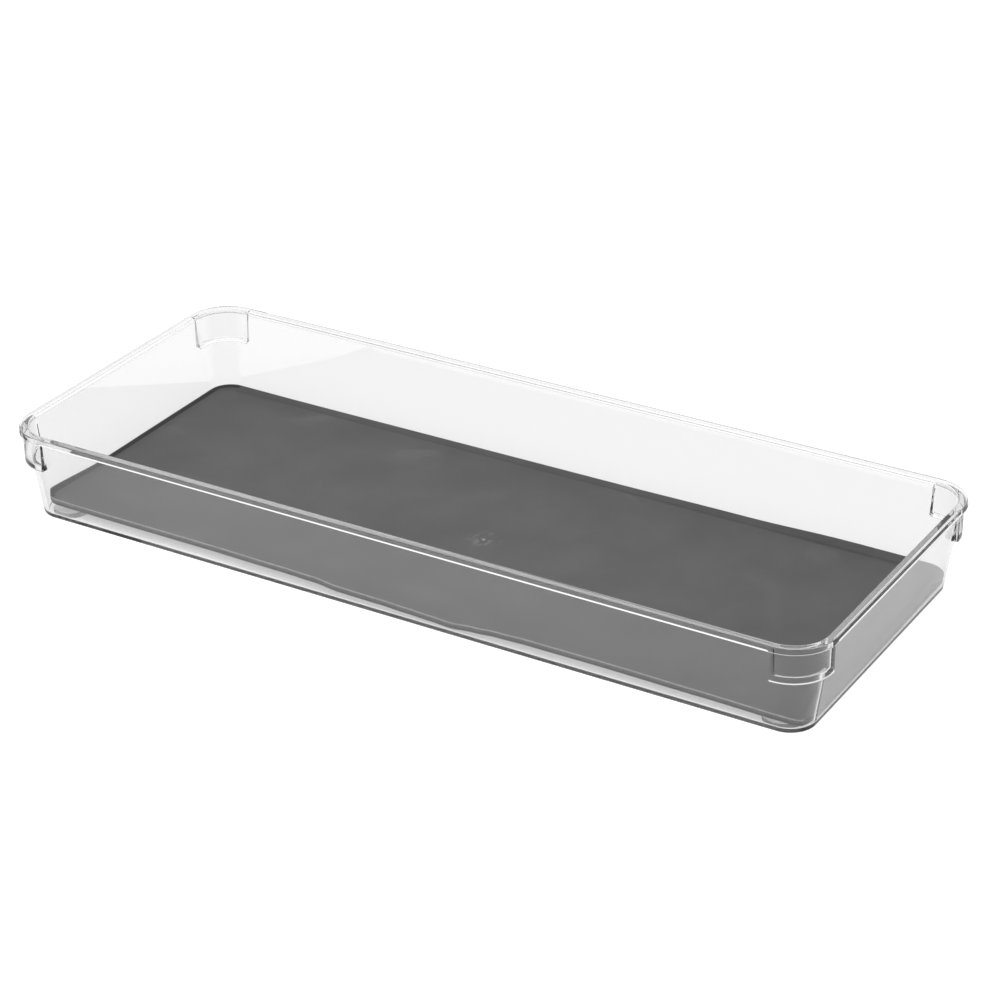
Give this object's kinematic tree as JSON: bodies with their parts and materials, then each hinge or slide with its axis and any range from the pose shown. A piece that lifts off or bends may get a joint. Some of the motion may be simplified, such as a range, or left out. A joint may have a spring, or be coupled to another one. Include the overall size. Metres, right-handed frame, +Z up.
{
  "type": "drawer organizer tray",
  "caption": "Long shallow clear tray with rounded corners, a flanged rim, stacking shoulders, clear non-slip feet and a loose dark foam mat, for keeping small things in a drawer.",
  "frame": {"origin": "on the surface that the feet stand on, under the middle of the tray", "axes": "+X along the tray's length, +Y across it from the front long wall to the back one, +Z up out of the open top"},
  "size_m": [0.38, 0.1554, 0.0414],
  "materials": {
    "clear_acrylic": "water-clear injection-moulded acrylic, polished",
    "foam_rubber": "dark grey closed-cell foam rubber sheet, matte with a faint sheen",
    "clear_rubber": "clear soft polyurethane pad, glossy"
  },
  "bodies": {
    "tray": {"tray": "clear_acrylic", "foot_front_left": "clear_rubber", "foot_front_right": "clear_rubber", "foot_back_left": "clear_rubber", "foot_back_right": "clear_rubber"},
    "liner": {"liner_mat": "foam_rubber"}
  },
  "joints": [
    {"name": "liner_lift", "type": "slide", "parent": "tray", "child": "liner", "axis": [0, 0, 1], "range_m": [0, 0.08]}
  ]
}
